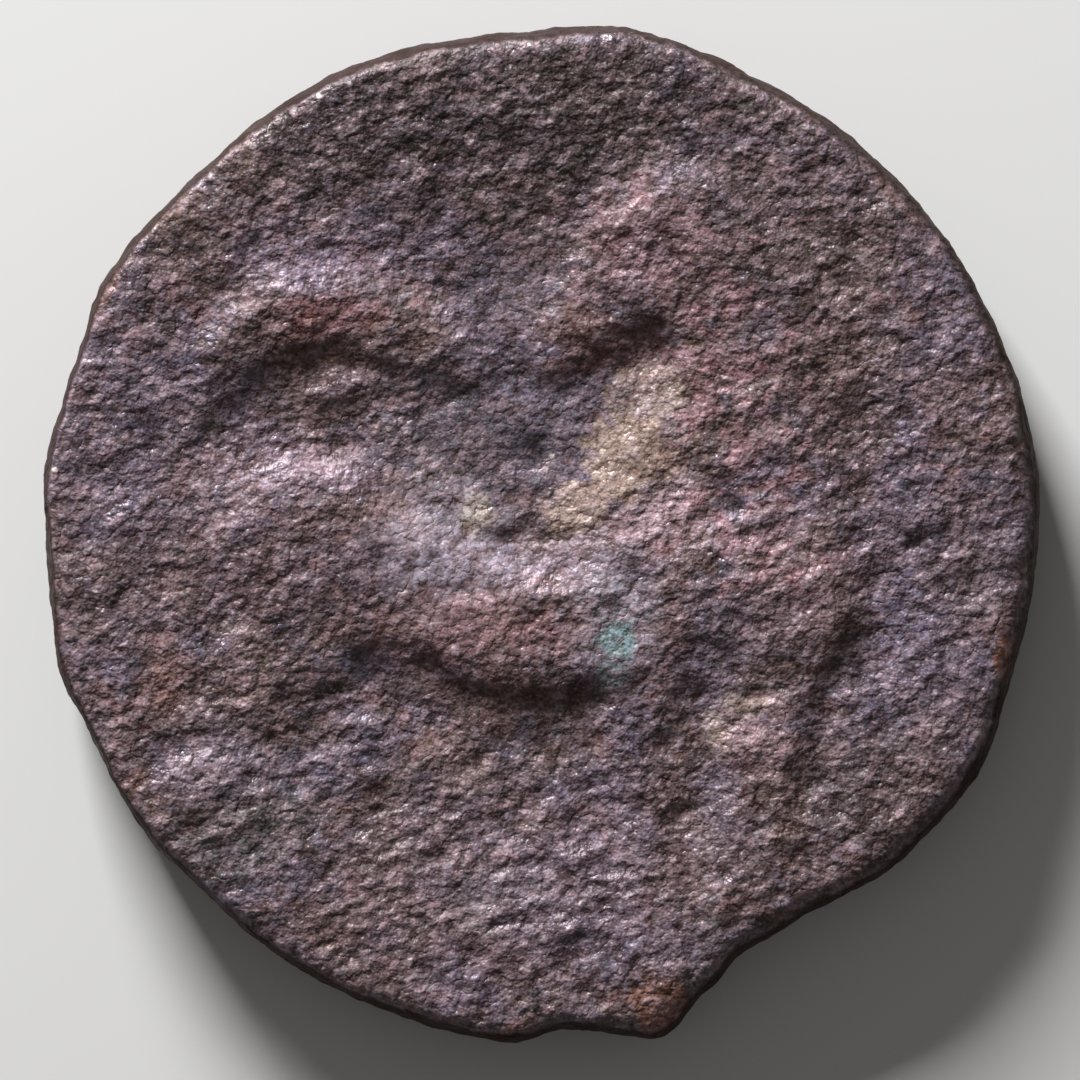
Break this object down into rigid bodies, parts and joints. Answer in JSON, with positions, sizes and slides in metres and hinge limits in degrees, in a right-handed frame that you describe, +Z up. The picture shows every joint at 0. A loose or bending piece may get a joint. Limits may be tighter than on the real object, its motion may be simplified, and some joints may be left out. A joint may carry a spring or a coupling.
{
  "type": "ancient bronze shekel",
  "caption": "Worn hand-struck bronze coin: a round, slightly dished flan with a low animal relief on top and a faint palm beneath.",
  "frame": {"origin": "middle of the underside, on the surface that the coin lies on, below the centre of its box", "axes": "+Z up through the coin's thickness, +Y towards the top of the animal design, +X to its right"},
  "size_m": [0.024, 0.0244, 0.0025],
  "materials": {
    "bronze": "grainy, worn purple-grey bronze patina with brown, ochre and blue-green mineral spots"
  },
  "bodies": {
    "root": {"coin": "bronze"}
  },
  "joints": []
}
